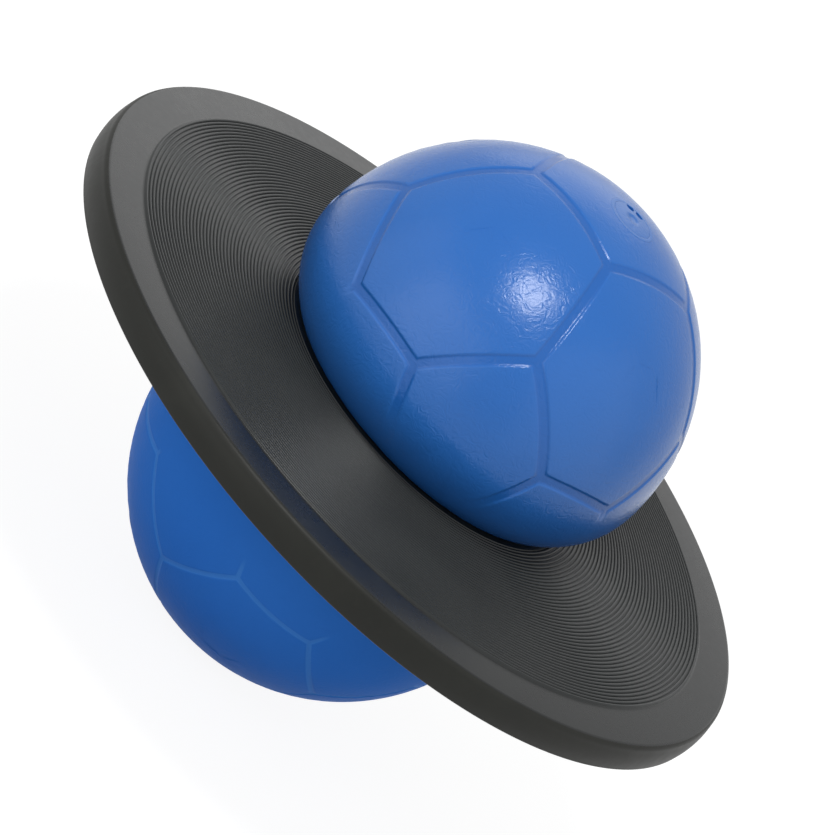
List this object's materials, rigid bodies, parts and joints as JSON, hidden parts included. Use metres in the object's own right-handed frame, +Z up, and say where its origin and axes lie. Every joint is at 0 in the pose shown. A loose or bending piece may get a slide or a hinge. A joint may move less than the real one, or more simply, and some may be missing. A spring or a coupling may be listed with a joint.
{
  "type": "bouncing balance disc",
  "caption": "Round ribbed platform gripped at the waist of a two-lobed air ball, for standing on and bouncing, with a plugged air valve on top.",
  "frame": {"origin": "middle of the flattened patch under the lower lobe, on the floor", "axes": "+Z up along the ball's axis, from the lower lobe through the platform to the valve"},
  "size_m": [0.3899, 0.39, 0.2896],
  "materials": {
    "ball": "semi-gloss blue soft PVC with a fine moulded grain",
    "platform": "matt black moulded rubber",
    "valve": "soft dark blue PVC",
    "plug": "soft dark blue PVC"
  },
  "bodies": {
    "lower_lobe": {"ball_lower": "ball"},
    "upper_ball": {"ball_upper": "ball", "valve_sleeve": "valve"},
    "platform": {"platform": "platform"},
    "plug": {"valve_plug": "plug"}
  },
  "joints": [
    {"name": "bounce", "type": "slide", "parent": "lower_lobe", "child": "upper_ball", "axis": [0, 0, -1], "range_m": [0, 0.055], "stiffness_N_per_m": 12000, "deforming": ["ball_lower"]},
    {"name": "platform_turn", "type": "hinge", "parent": "upper_ball", "child": "platform", "pos_m": [0, 0, 0.1445], "axis": [0, 0, 1], "continuous": true},
    {"name": "plug_pull", "type": "slide", "parent": "upper_ball", "child": "plug", "axis": [0, 0, 1], "range_m": [0, 0.016]}
  ]
}
